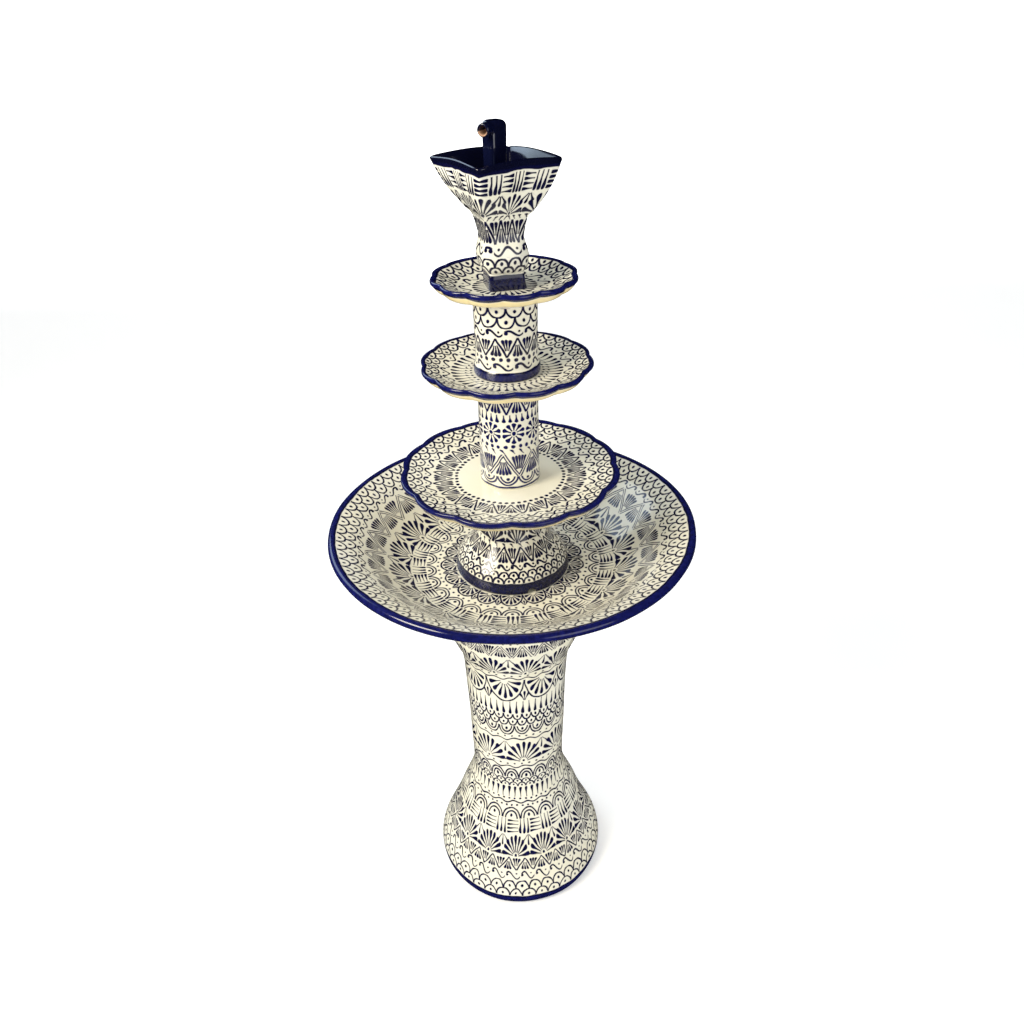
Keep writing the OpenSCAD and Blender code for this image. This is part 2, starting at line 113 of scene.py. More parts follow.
class Finish:
    """A material being made from nodes."""

    def __init__(self, name):
        self.material = bpy.data.materials.new(name)
        self.material.use_nodes = True
        self.tree = self.material.node_tree
        self.tree.nodes.clear()
        self.place = self.node("TexCoord", output="Object")

    def node(self, kind, settings=None, inputs=None, output=0):
        """Any node, with its settings first and then the values or links of its sockets."""
        made = self.tree.nodes.new("ShaderNode" + kind)
        for key, value in (settings or {}).items():
            setattr(made, key, value)
        for key, value in (inputs or {}).items():
            if isinstance(value, Value):
                self.tree.links.new(value.socket, made.inputs[key])
            else:
                made.inputs[key].default_value = value
        return None if output is None else Value(self, made.outputs[output])

    def attribute(self, name):
        return self.node("Attribute", {"attribute_name": name}, output="Fac")

    def noise(self, scale, detail=2.0, output="Fac"):
        return self.node("TexNoise", None, {"Vector": self.place, "Scale": scale, "Detail": detail}, output)

    def mix(self, share, first, second):
        return self.node("Mix", {"data_type": "RGBA"}, {0: share, 6: first, 7: second}, 2)

    def parts(self, vector):
        apart = self.node("SeparateXYZ", None, {0: vector}).socket.node
        return [Value(self, apart.outputs[i]) for i in range(3)]

    def bump(self, height, strength, distance):
        return self.node("Bump", None, {"Height": height, "Strength": strength, "Distance": distance})

    def surface(self, **sockets):
        inputs = {key.replace("_", " "): value for key, value in sockets.items()}
        shader = self.node("BsdfPrincipled", None, inputs)
        self.node("OutputMaterial", None, {"Surface": shader}, output=None)
        return self.material


def colour(red, green, blue):
    """A display colour, 0 to 255, as the linear colour that shaders use."""
    def linear(c):
        c /= 255
        return c / 12.92 if c <= 0.04045 else ((c + 0.055) / 1.055) ** 2.4
    return (linear(red), linear(green), linear(blue), 1.0)


def hypot(x, y):
    return (x * x + y * y).root()


# ---------------------------------------------------------------- brushwork
# Each motif gives the distance in millimetres to the edge of its ink, negative inside the ink.

HALF_LINE = 1.22         # half the width of a drawn line
SHELL_DROPS = 7          # drops in one shell
FLOWER_PETALS = 10


class Cell:
    """One repeat of a row: x from its middle, y up from the row's start, w wide and h high."""

    def __init__(self, u, y, w, h):
        self.u, self.y, self.w, self.h = u, y, w, h
        self.x = self.shifted(0.0)

    def shifted(self, by):
        """x when the repeats are moved along by a share of a cell."""
        return ((self.u + by).fraction() - 0.5) * self.w


def drop(across, t, length, fat, thin=0.62):
    """A brush drop: a long thin tail at t=0 that swells to a round head near t=1."""
    swell = t * t * t * (1.0 - t).root() * (4.2 * (fat - thin))
    return (abs(across) - swell - thin).most((abs(t - 0.5) - 0.5) * length)


def fan(x, y, step, reach, start, fat, widest=None, offset=0.0):
    """Drops that spread from a point, step degrees apart, up to widest degrees from the vertical."""
    step = math.radians(step)
    out = hypot(x, y)
    angle = x.op("ARCTAN2", y)
    across = ((angle / step + (0.5 + offset)).fraction() - 0.5) * step * out
    drops = drop(across, (out - start) / (reach - start), reach - start, fat)
    if widest is None:
        return drops
    return drops.most((abs(angle) - math.radians(widest)) * out)


def dots(c, size=2.0):
    """One dot in the middle of each cell."""
    return hypot(c.x, c.y - c.h / 2) - size


def line(c):
    """A plain drawn line."""
    return abs(c.y - c.h / 2) - HALF_LINE


def scales(c, hang=False):
    """Two rows of fish scales, each an arch with a dot, staggered from row to row."""
    h = c.h / 2
    row = (c.y / h).whole()
    y = c.y - row * h
    if hang:
        y = h - y
    r = c.w / 2
    x = c.shifted(row * 0.5)
    y = y * (r / h)
    arch = abs(hypot(x, y) - (r - 0.4)) - HALF_LINE
    return arch.least(hypot(x, y - r * 0.36) - min(0.22 * r, 2.2))


def arches(c, hang=False):
    """Two arches, one inside the other, over a dot."""
    r = c.w / 2
    y = (c.h - c.y if hang else c.y) * (r / c.h)
    out = hypot(c.x, y)
    gap = min(0.16 * r, 2.6)
    dot = hypot(c.x, y - 0.28 * r) - min(0.17 * r, 2.4)
    return (abs(abs(out - 0.8 * r) - gap) - HALF_LINE).least(dot)


def shells(c, hang=False):
    """An arch filled with drops that spread from its foot, and small fans between."""
    r = c.w / 2
    y = (c.h - c.y if hang else c.y) * (r / c.h)
    rays = fan(c.x, y, 180 / SHELL_DROPS, 0.86 * r, 0.2 * r, 0.07 * r + 0.9, 88)
    filler = fan(c.shifted(0.5), r - y, 32, 0.46 * r, 0.05 * r, 0.04 * r + 0.7, 48)
    return (abs(hypot(c.x, y) - (r - 0.6)) - HALF_LINE).least(rays).least(filler)


def zigzag(c, double=False):
    """A zigzag with a fan of drops in each valley, and one hanging in each peak."""
    slope = 2 * c.h / c.w
    lean = 1 / math.hypot(1, slope)
    off = (c.y - abs(c.x) * slope) * lean
    stroke = abs(off) - HALF_LINE
    if double:
        stroke = abs(abs(off) - 1.9) - 0.75
    half_angle = math.atan2(c.w / 2, c.h)
    reach, start = 0.95 * c.h, 0.36 * c.h
    drops = max(1, min(5, round(1.2 * half_angle * reach / 5.2)))
    step = 1.3 * half_angle / drops
    fat = min(2.3, 0.38 * step * reach)
    widest = math.degrees(step * drops / 2)
    shape = (math.degrees(step), reach, start, fat, widest, 0.0 if drops % 2 else 0.5)
    rising = fan(c.x, c.y, *shape)
    hanging = fan(c.shifted(0.5), c.h - c.y, *shape)
    return stroke.least(rising).least(hanging)


def strokes(c, heads_up=True):
    """Upright drops side by side."""
    t = c.y / c.h
    return drop(c.x, t if heads_up else 1.0 - t, c.h, min(2.8, 0.34 * c.w))


def basket(c):
    """A block of three upright drops, then a block of four lying ones."""
    half = c.w / 2
    column = ((c.x / half * 3).fraction() - 0.5) * (half / 3)
    lying = ((c.y / c.h * 4).fraction() - 0.5) * (c.h / 4)
    upright = drop(column, 1.0 - c.y / c.h, c.h, 2.4).most(c.x + 1.0)
    across = drop(lying, 1.0 - c.x / half, half - 1, 2.2).most(0.8 - c.x)
    return upright.least(across)


def scrolls(c):
    """Curling strokes with a round head and a tail that thins away, each with a dot in its hollow."""
    rise = 0.32 * c.h
    y = c.y - c.h / 2
    turn = c.x * (TAU / c.w)
    steep = turn.op("COSINE") * (rise * TAU / c.w)
    off = abs(y + turn.op("SINE") * rise) / hypot(steep, 1.0)
    stroke = (off - 1.35 + c.x * (1.0 / c.w)).most(abs(c.x) - 0.45 * c.w)
    head = hypot(c.x + 0.38 * c.w, y - 0.15 * rise) - 2.5
    beside = hypot(c.x - 0.24 * c.w, y - 0.5 * rise) - 1.5
    return stroke.least(head).least(beside)


def palmettes(c):
    """Fans that open upwards from a dot, with smaller ones hanging between them."""
    r = 0.52 * c.w
    y = c.y * (r / c.h)
    petals = max(5, min(9, round(r / 3.6)))
    petals += 1 - petals % 2
    petal = min(0.06 * r + 1.0, 0.3 * r * math.pi / petals)
    open_up = fan(c.x, y, 180 / petals, 0.95 * r, 0.2 * r, petal, 86)
    heart = hypot(c.x, y - 1.5) - 2.2
    hanging = fan(c.shifted(0.5), c.h - c.y, 32, 0.52 * c.h, 2.5, 1.8, 48)
    beside = hypot(c.shifted(0.5), c.y - 0.1 * c.h) - 1.4
    return open_up.least(heart).least(hanging).least(beside)


def flowers(c):
    """Drops all round a dot."""
    r = min(c.w, c.h) / 2
    y = c.y - c.h / 2
    petals = fan(c.x, y, 360 / FLOWER_PETALS, r * 0.97, r * 0.28, 0.13 * r + 0.8)
    return petals.least(hypot(c.x, y) - 0.16 * r)


def waves(c):
    """A thin wavy line."""
    y = c.y - c.h / 2 - (c.x * (TAU / c.w)).op("SINE") * (c.h * 0.3)
    return abs(y) * 0.8 - HALF_LINE


def darts(c):
    """Short slanting drops."""
    return drop((c.x + (c.y - c.h / 2) * 0.7) * 0.8, c.y / c.h, c.h, 1.6, 0.3)


def waved_band(c):
    """A thick band that swells and thins."""
    return abs(c.y - c.h / 2) - 2.6 - (c.x * (TAU / c.w)).op("SINE") * 0.7


def dots_big(c):
    return dots(c, 2.8)


def scales_hang(c):
    return scales(c, hang=True)


def arches_hang(c):
    return arches(c, hang=True)


def shells_hang(c):
    return shells(c, hang=True)


def strokes_down(c):
    return strokes(c, heads_up=False)


def zigzag_double(c):
    return zigzag(c, double=True)


# ---------------------------------------------------------------- finishes

CREAM = colour(244, 241, 225)
CREAM_THIN = colour(236, 229, 201)
CREAM_SHADE = colour(214, 207, 188)
BUFF = colour(240, 219, 162)
NAVY = colour(11, 13, 50)
COBALT = colour(26, 31, 106)
NIGHT = colour(8, 10, 34)
CLAY = colour(190, 128, 84)
CLAY_PALE = colour(222, 182, 138)
BORE_CLAY = colour(166, 124, 96)
BORE_CLAY_PALE = colour(204, 166, 134)
STRAY = 5.0              # how far the painter's hand strays, in millimetres
PRESS = 0.7              # how much a stroke widens with the brush's pressure, in millimetres
DRYING = 0.5             # how much it narrows as the brush dries, in millimetres
EDGE = 1.9               # how sharply the ink stops, for each millimetre
HALO_REACH = 0.7         # how far the cobalt bleeds past the ink, in millimetres
HALO_EDGE = 0.7          # how sharply the bleeding stops, for each millimetre


def painted(name, rows, radius, turned_by=0.0, **glaze):
    """Cream glaze with rows of brushwork round a turned piece of about the given radius."""
    f = Finish(name)
    x, y = f.parts(f.place)[:2]
    stray_turn, stray_along, press = f.parts(f.noise(42.0, 1.0, "Color"))
    along = f.attribute("along") + (stray_along - 0.5) * STRAY
    share = x.op("ARCTAN2", -y) / TAU + (0.5 - turned_by / 360)
    turn = share + (stray_turn - 0.5) * (STRAY / (TAU * radius))
    return glazed(f, along, turn, press, rows, **glaze)


def row_ink(along, turn, rows):
    """The nearest ink of all the rows, each (motif, start, end, repeats, shift, radius)."""
    nearest = None
    for motif, start, end, repeats, shift, radius in rows:
        h = end - start
        y = along - start
        cell = Cell((turn * float(repeats) + shift).fraction(), y, TAU * radius / repeats, h)
        ink = motif(cell).most(abs(y - h / 2) - h / 2)
        nearest = ink if nearest is None else nearest.least(ink)
    return nearest


def off_stretch(along, start, end):
    """How far outside a stretch of the outline a point is, negative inside."""
    middle, half = (start + end) / 2, (end - start) / 2
    return abs(along - middle) - half


def glazed(f, along, turn, press, rows, solid=(), bare=(), dark=(), buff=(), violet=0.0, heavy=0.0):
    """Cream glaze with brushwork on a piece whose outline and turn are given.

    solid, bare, dark and buff are stretches of the outline: under plain navy, with no glaze, under
    near-black glaze, and under a warmer cream. The ink-tone argument shifts the ink towards cobalt, and
    darkens it when negative, which is painted shade. heavy widens every stroke.
    """
    ink = row_ink(along, turn, rows)
    for start, end in solid:
        ink = ink.least(off_stretch(along, start, end))
    load = f.noise(170.0, 2.0)
    ink = ink - heavy - (press - 0.5) * PRESS + (load - 0.5) * DRYING
    mask = (0.5 - ink * EDGE).clamped()
    halo = (0.5 - (ink - HALO_REACH) * HALO_EDGE).clamped()
    pool = f.noise(9.0, 3.0)
    cream = f.mix((pool - 0.3) * 1.6, CREAM, CREAM_THIN)
    specks = f.noise(900.0, 1.0)
    cream = f.mix(((specks - 0.68) * 6.0).clamped() * 0.5, cream, CREAM_SHADE)
    for start, end in buff:
        warm = (0.5 - off_stretch(along, start, end) * 0.2).clamped()
        cream = f.mix(warm * (0.75 + pool * 0.5), cream, BUFF)
    cream = f.mix(halo * 0.2, cream, COBALT)
    deep = ((-ink - 2.4) * 0.5).clamped() * 0.4
    # A negative ink tone darkens the navy: painted shade.
    navy = f.mix((load * 1.3 - 0.6 + deep + violet).clamped(), NAVY, COBALT)
    tint = f.mix(mask, cream, navy)
    height = mask * 0.6 + pool * 0.5 + load * 0.12
    rough = 0.13 + load * 0.1 - mask * 0.03
    coat = 0.38 - mask * 0.1
    for start, end in dark:
        night = (0.5 - off_stretch(along, start, end) * 1.5).clamped()
        tint = f.mix(night, tint, NIGHT)
    for start, end in bare:
        raw = off_stretch(along, start, end) + (press - 0.5) * 1.5
        raw = (0.5 - raw * 1.2).clamped()
        clay = f.mix(f.noise(60.0, 4.0), CLAY, CLAY_PALE)
        tint = f.mix(raw, tint, clay)
        rough = rough + raw * 0.6
        coat = coat * (1.0 - raw)
        height = height + raw * f.noise(700.0, 3.0) * 0.5
    return f.surface(Base_Color=tint, Roughness=rough, Coat_Weight=coat, Coat_Roughness=0.09,
                     Specular_IOR_Level=0.38, Normal=f.bump(height, 0.35, 0.0007))


# ---------------------------------------------------------------- thrown pieces

def between(a, b, c, d, t):
    """A point on the smooth curve through b and c."""
    return tuple(0.5 * (2 * q + (r - p) * t + (2 * p - 5 * q + 4 * r - s) * t * t
                        + (3 * q - p - 3 * r + s) * t ** 3)
                 for p, q, r, s in zip(a, b, c, d))


def smooth(points, step=3.0):
    """A smooth line through points, in steps of about so many millimetres."""
    line_out = []
    for i in range(len(points) - 1):
        a, b = points[max(i - 1, 0)], points[i]
        c, d = points[i + 1], points[min(i + 2, len(points) - 1)]
        count = max(1, round(math.dist(b, c) / step))
        line_out += [between(a, b, c, d, k / count) for k in range(count)]
    return line_out + [points[-1]]


class Outline:
    """A closed outline of a turned wall, as (radius, height) in millimetres, and distances along it."""

    def __init__(self, *stretches):
        self.points = [p for points in stretches for p in points]
        self.along = [0.0]
        for a, b in zip(self.points, self.points[1:]):
            self.along.append(self.along[-1] + math.dist(a, b))

    def reach(self, axis, value):
        """How far along the outline a radius (axis 0) or a height (axis 1) is first reached."""
        for i in range(1, len(self.points)):
            a, b = self.points[i - 1][axis], self.points[i][axis]
            if min(a, b) <= value <= max(a, b) and a != b:
                share = (value - a) / (b - a)
                return self.along[i - 1] + share * (self.along[i] - self.along[i - 1])
        raise ValueError(f"the outline never reaches {value}")

    def radius(self, value):
        return self.reach(0, value)

    def height(self, value):
        return self.reach(1, value)


def shown(name, bm, body, replaced, material):
    """The finished mesh as a piece that rides on its body and stands for its CAD node."""
    mesh = bpy.data.meshes.new(name)
    bm.to_mesh(mesh)
    bm.free()
    piece = bpy.data.objects.new(name, mesh)
    bpy.context.scene.collection.objects.link(piece)
    mesh.materials.append(material)
    for face in mesh.polygons:
        face.use_smooth = True
    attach(piece, body)
    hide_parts(*replaced)
    return piece


WOBBLE = 0.012           # how quickly a wall goes in and out of true, for each millimetre


def turned(outline, foot_z, sides, uneven, shape=None):
    """The outline spun round Z, a little uneven as hand-thrown ware is. shape may move each point first."""
    bm = bmesh.new()
    layer = bm.verts.layers.float.new("along")
    chain = []
    for (r, z), along in zip(outline.points, outline.along):
        vert = bm.verts.new((r, 0, z))
        vert[layer] = along
        chain.append(vert)
    edges = [bm.edges.new(pair) for pair in zip(chain, chain[1:] + chain[:1])]
    bmesh.ops.spin(bm, geom=chain + edges, cent=(0, 0, 0), axis=(0, 0, 1), dvec=(0, 0, 0),
                   angle=TAU, steps=sides, use_merge=True)
    bmesh.ops.recalc_face_normals(bm, faces=bm.faces)
    for vert in bm.verts:
        if shape:
            shape(vert)
        r = math.hypot(vert.co.x, vert.co.y)
        push = uneven * noise.noise(vert.co * WOBBLE) / max(r, 20)
        vert.co.x *= 1 + push
        vert.co.y *= 1 + push
        vert.co = Vector((vert.co.x, vert.co.y, vert.co.z + foot_z)) * MM
    return bm


def loose(bm):
    """A mesh being made, as an object that is only a tool."""
    mesh = bpy.data.meshes.new("tool")
    bm.to_mesh(mesh)
    bm.free()
    tool = bpy.data.objects.new("tool", mesh)
    bpy.context.scene.collection.objects.link(tool)
    return tool


def with_modifier(bm, kind, **settings):
    """The mesh after one modifier. A setting that is a mesh is used up as the modifier's tool."""
    body = loose(bm)
    modifier = body.modifiers.new(kind, kind)
    tools = [body]
    for key, value in settings.items():
        if isinstance(value, bmesh.types.BMesh):
            value = loose(value)
            tools.append(value)
        setattr(modifier, key, value)
    view = bpy.context.evaluated_depsgraph_get()
    made = bmesh.new()
    made.from_object(body, view)
    for tool in tools:
        mesh = tool.data
        bpy.data.objects.remove(tool)
        bpy.data.meshes.remove(mesh)
    return made


def carved(bm, cutter):
    return with_modifier(bm, "BOOLEAN", operation="DIFFERENCE", solver="EXACT", object=cutter)


def rod(radius, length, foot):
    """A round upright cutter that stands on a point, in millimetres."""
    bm = bmesh.new()
    bmesh.ops.create_cone(bm, segments=32, radius1=radius, radius2=radius, depth=length, cap_ends=True)
    place = Matrix.Translation(foot) @ Matrix.Translation((0, 0, length / 2))
    bmesh.ops.transform(bm, matrix=Matrix.Scale(MM, 4) @ place, verts=bm.verts)
    return bm


def arch(width, height, inner, outer, azimuth, foot_z):
    """A cutter for an arch with a round top, through a wall. azimuth is in degrees from the right."""
    r = width / 2
    bm = bmesh.new()
    chain = [bm.verts.new((r, inner, -5)), bm.verts.new((-r, inner, -5))]
    for k in range(13):
        a = math.pi - math.pi * k / 12
        chain.append(bm.verts.new((r * math.cos(a), inner, height - r + r * math.sin(a))))
    face = bm.faces.new(chain)
    pushed = bmesh.ops.extrude_face_region(bm, geom=[face])["geom"]
    far_side = [part for part in pushed if isinstance(part, bmesh.types.BMVert)]
    bmesh.ops.translate(bm, vec=(0, outer - inner, 0), verts=far_side)
    bmesh.ops.recalc_face_normals(bm, faces=bm.faces)
    place = Matrix.Translation((0, 0, foot_z)) @ Matrix.Rotation(math.radians(azimuth - 90), 4, "Z")
    bmesh.ops.transform(bm, matrix=Matrix.Scale(MM, 4) @ place, verts=bm.verts)
    return bm


def foot_of(node):
    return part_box(node)[0].z / MM


def head_of(node):
    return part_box(node)[1].z / MM


# ---------------------------------------------------------------- pedestal

def make_pedestal():
    outside = smooth([(160, 0), (164.5, 4), (167.5, 20), (162, 45), (147, 80), (131, 120), (117, 160),
                      (101, 200), (91, 235), (88.5, 270), (90, 340), (92, 420), (95, 500), (97, 525),
                      (101.5, 550), (111, 575), (120, 600), (125.5, 625), (128, 660), (129, 697)])
    inside = smooth([(95, 688), (119, 687), (119, 660), (111, 600), (88, 545), (84, 480), (80, 300),
                     (81, 240), (92, 200), (122, 120), (148, 60), (156, 20), (148, 0), (159.6, 0)], 8.0)
    seat = [(127, 700), (97, 700), (95, 698)]
    o = Outline(outside, seat, inside)
    at = o.height
    rows = [
        (scales, at(26), at(59), 40, 0.0, 162),
        (scrolls, at(58), at(80), 32, 0.1, 152),
        (zigzag, at(79), at(104), 27, 0.3, 143),
        (palmettes, at(106), at(153), 15, 0.2, 128),
        (basket, at(154), at(183), 16, 0.1, 113),
        (arches, at(184), at(207), 19, 0.5, 103),
        (dots, at(207), at(214), 60, 0.0, 98),
        (waves, at(214), at(221), 22, 0.2, 95),
        (dots, at(221), at(229), 54, 0.4, 93),
        (strokes, at(229), at(254), 50, 0.3, 90),
        (scales, at(256), at(278), 34, 0.2, 89),
        (arches, at(279), at(305), 20, 0.0, 89),
        (waves, at(306), at(315), 18, 0.4, 89),
        (dots, at(315), at(323), 40, 0.0, 90),
        (palmettes, at(325), at(381), 8, 0.35, 91),
        (waves, at(382), at(390), 20, 0.0, 91),
        (dots, at(390), at(399), 42, 0.3, 92),
        (arches_hang, at(399), at(422), 20, 0.2, 92),
        (scales_hang, at(423), at(454), 34, 0.0, 93),
        (strokes_down, at(455), at(485), 50, 0.6, 95),
        (shells_hang, at(486), at(541), 9, 0.3, 98),
        (waves, at(542), at(551), 22, 0.1, 102),
        (dots, at(551), at(559), 46, 0.0, 105),
        (palmettes, at(560), at(612), 12, 0.2, 114),
        (zigzag_double, at(615), at(643), 21, 0.2, 125),
        (dots, at(644), at(653), 66, 0.2, 128),
        (scales_hang, at(656), at(694), 34, 0.2, 129),
    ]
    total = o.along[-1]
    inner_from = o.along[len(outside) + 2]
    material = painted("pedestal_paint", rows, solid=[(0, at(25))], bare=[(inner_from + 40, total)],
                       radius=110)
    bm = turned(o, foot_of("pedestal"), sides=144, uneven=0.9)
    bm = carved(bm, arch(width=24, height=21, inner=130, outer=175, azimuth=90, foot_z=0))
    return shown("pedestal_pottery", bm, "pedestal", ["pedestal"], material)


# ---------------------------------------------------------------- basin and riser

def make_basin():
    upper = smooth([(0.5, 24), (120, 24), (140, 24), (165, 26), (190, 37), (215, 56), (238, 77),
                    (259, 93), (275, 102), (288, 108.5), (295, 112), (300, 113), (304, 110),
                    (305, 105.5), (303, 101)], 4.0)
    under = smooth([(296, 98), (282, 93), (268, 86), (247, 70), (224, 50), (200, 30), (172, 16),
                    (150, 13), (119, 11), (115.5, 9), (115, 2)], 6.0)
    foot = [(114, 0), (101, 0), (100, 2), (100, 11), (98, 12), (40, 12), (0.5, 12)]
    o = Outline(upper, under, foot)
    at = o.radius
    rows = [
        (shells, at(97), at(124), 17, 0.1, 108),
        (dots, at(125), at(132), 70, 0.2, 129),
        (arches_hang, at(132), at(149), 27, 0.1, 141),
        (basket, at(150), at(173), 22, 0.3, 161),
        (palmettes, at(174), at(215), 19, 0.0, 194),
        (zigzag_double, at(216), at(248), 25, 0.0, 232),
        (scrolls, at(248), at(261), 58, 0.2, 254),
        (scales_hang, at(261), at(291), 74, 0.0, 276),
    ]
    rim = at(292)
    edge = o.along[len(upper) - 1]
    raw_from = o.along[len(upper) + len(under) - 1]
    material = painted("basin_paint", rows, solid=[(rim, edge + 9)], bare=[(raw_from, raw_from + 16)],
                       radius=220, buff=[(edge + 12, raw_from)])
    bm = turned(o, foot_of("basin"), sides=200, uneven=1.1)
    bm = carved(bm, rod(radius=12, length=60, foot=(0, 62, foot_of("basin") - 10)))
    return shown("basin_pottery", bm, "basin", ["basin"], material)


def make_riser():
    outside = smooth([(95.5, 0), (97, 3), (96, 9), (93, 20), (89.5, 28), (83, 36), (75, 44), (68.5, 52),
                      (62.5, 60), (57, 68), (52, 76), (48, 86), (46.2, 99), (46, 120), (46, 154)])
    top = [(45, 156), (38, 156), (37, 154)]
    inside = smooth([(37, 99), (40, 84), (54, 60), (75, 36), (85, 18), (88, 1.5), (90, 0),
                     (95.1, 0)], 5.0)
    o = Outline(outside, top, inside)
    at = o.height
    rows = [
        (scales, at(20.5), at(37), 34, 0.0, 88),
        (scrolls, at(37), at(46), 22, 0.2, 78),
        (zigzag, at(46), at(68), 14, 0.5, 62),
        (darts, at(68), at(73), 26, 0.5, 56),
        (palmettes, at(73), at(104), 8, 0.3, 49),
        (dots, at(105), at(112), 30, 0.0, 46),
        (zigzag, at(113), at(135), 9, 0.0, 46),
        (flowers, at(136), at(155), 13, 0.0, 46),
    ]
    # The riser's ink is darkened all over: painted shade.
    material = painted("riser_paint", rows, solid=[(0, at(20))],
                       bare=[(o.along[len(outside)] + 3, o.along[-1])],
                       radius=65, violet=-0.4, heavy=0.2)
    bm = turned(o, foot_of("riser"), sides=120, uneven=0.6)
    for azimuth in (-72, 48, 168):
        notch = arch(width=14, height=9, inner=70, outer=110, azimuth=azimuth, foot_z=foot_of("riser"))
        bm = carved(bm, notch)
    return shown("riser_pottery", bm, "riser", ["riser"], material)


# ---------------------------------------------------------------- scalloped plates

LOBES = 12


def plate_outline(rim):
    """A plate with a flat middle, a foot, and a rim that turns up and ends in a thick round lip.

    It comes with how far along it the lip ends, and the number of the point where the foot starts.
    """
    flat, floor, rise, wall = rim / 2, 14.0, 17.0, 8.0
    reach = rim - 3 - flat

    def top(r):
        return floor + rise * (max(0.0, r - flat) / reach) ** 1.6

    curve = [(flat + reach * k / 12, top(flat + reach * k / 12)) for k in range(13)]
    upper = [(11.4, floor)] + smooth([(12, floor), (flat - 8, floor)] + curve, 2.5)
    z = top(rim - 3)
    lip = smooth([(rim - 3, z), (rim - 1, z - 0.6), (rim, z - 2.6), (rim - 0.4, z - 5.6),
                  (rim - 2.6, z - 8)], 1.0)
    under = smooth([(rim - 5.5, z - 12), (rim - 11, z - 17.5), (rim - 21, z - 21.8), (rim - 36, z - 24),
                    (max(rim / 2, 60), floor - wall + 0.4), (57, floor - wall)], 4.0)
    foot = [(54.5, 5), (54, 0.8), (53.2, 0), (37, 0), (36, 1), (36, 6), (11, 6), (11, 13.6)]
    o = Outline(upper, lip[1:], under, foot)
    lip_end = len(upper) + len(lip) - 2
    return o, o.along[lip_end], lip_end + len(under) + 1


def scallop(rim, depth, turned_by):
    """Draws the rim in at the notches between the lobes, and flutes the wall below them."""
    def shape(vert):
        r = math.hypot(vert.co.x, vert.co.y)
        share = max(0.0, (r / rim - 0.5) / 0.5)
        if not share:
            return
        angle = math.atan2(vert.co.x, -vert.co.y) - math.radians(turned_by)
        lobe = abs(math.sin(angle * LOBES / 2))
        lobe = max(0.0, math.sqrt(lobe * lobe + 0.012) - 0.11)
        pull = depth * share ** 2.2 * (1 - lobe ** 0.75)
        vert.co.x *= 1 - pull / r
        vert.co.y *= 1 - pull / r
        vert.co.z += 1.3 * share ** 1.5 * (1 - lobe)
    return shape


def make_plate(node, rim, rows_of, turned_by, depth):
    """A plate with rows of brushwork, a blue rim that starts at radius blue_from, and a bare foot ring."""
    o, lip_end, foot_at = plate_outline(rim)
    rows, blue_from = rows_of(o.radius)
    material = painted(f"{node}_paint", rows, radius=rim * 0.75, turned_by=turned_by, heavy=0.12,
                       solid=[(o.radius(blue_from), lip_end + 1.5)],
                       bare=[(o.along[foot_at + 2] + 1, o.along[foot_at + 3])],
                       buff=[(lip_end + 2, o.along[foot_at])])
    bm = turned(o, foot_of(node), sides=240, uneven=0.8, shape=scallop(rim, depth, turned_by))
    return shown(f"{node}_pottery", bm, node, [node], material)


def large_rows(at):
    return [(dots_big, at(84), at(91), 58, 0.2, 88),
            (zigzag, at(92), at(126), 21, 0.0, 109),
            (scrolls, at(126), at(143), 30, 0.2, 135),
            (scales_hang, at(143), at(167), 44, 0.0, 155)], 167


def medium_rows(at):
    return [(dots, at(52), at(58), 36, 0.2, 55),
            (darts, at(58), at(64), 40, 0.2, 61),
            (strokes, at(64), at(85), 44, 0.2, 74),
            (scrolls, at(85), at(103), 21, 0.2, 94),
            (scales_hang, at(103), at(124), 36, 0.0, 113)], 124


def small_rows(at):
    return [(strokes, at(30), at(47), 30, 0.2, 40),
            (scrolls, at(47), at(69), 12, 0.0, 58),
            (scales_hang, at(70), at(99), 28, 0.0, 85)], 99


# ---------------------------------------------------------------- columns

COLUMN_R = 47
COLUMN_WALL = 9


def make_column(node, side, rows_of, violet, band=None):
    """A tube with the given side, rows of brushwork, and a navy band of some height round its foot."""
    (foot_r, foot_z), (top_r, top_z) = side[0], side[-1]
    outside = smooth(side)
    inside = smooth([(top_r - COLUMN_WALL, top_z - 1.5), (top_r - COLUMN_WALL, top_z / 2),
                     (foot_r - COLUMN_WALL, 1), (foot_r - 0.6, foot_z)], 8.0)
    o = Outline(outside, [(top_r - 1, top_z + 1), (top_r - 8, top_z + 1)], inside)
    material = painted(f"{node}_paint", rows_of(o.height), radius=COLUMN_R, violet=violet, heavy=0.28,
                       solid=[(0, o.height(band))] if band else [],
                       bare=[(o.along[len(outside)] + 3, o.along[-1])])
    bm = turned(o, foot_of(node), sides=96, uneven=0.5)
    return shown(f"{node}_pottery", bm, node, [node], material)


def lower_rows(at):
    return [(line, at(2), at(7), 1, 0.0, COLUMN_R + 1),
            (arches_hang, at(8), at(23), 9, 0.1, COLUMN_R + 1),
            (zigzag_double, at(24), at(62), 6, 0.2, COLUMN_R),
            (darts, at(63), at(71), 20, 0.2, COLUMN_R),
            (dots_big, at(72), at(79), 26, 0.0, COLUMN_R),
            (flowers, at(80), at(116), 8, 0.3, COLUMN_R),
            (strokes_down, at(117), at(130), 30, 0.3, COLUMN_R),
            (zigzag, at(131), at(163), 9, 0.1, COLUMN_R)]


def upper_rows(at):
    return [(scrolls, at(15), at(30), 9, 0.2, COLUMN_R),
            (dots_big, at(30), at(38), 26, 0.3, COLUMN_R),
            (zigzag, at(38), at(66), 9, 0.0, COLUMN_R),
            (scrolls, at(67), at(81), 10, 0.1, COLUMN_R),
            (scales_hang, at(82), at(111), 11, 0.0, COLUMN_R)]


# ---------------------------------------------------------------- square bowl and spout

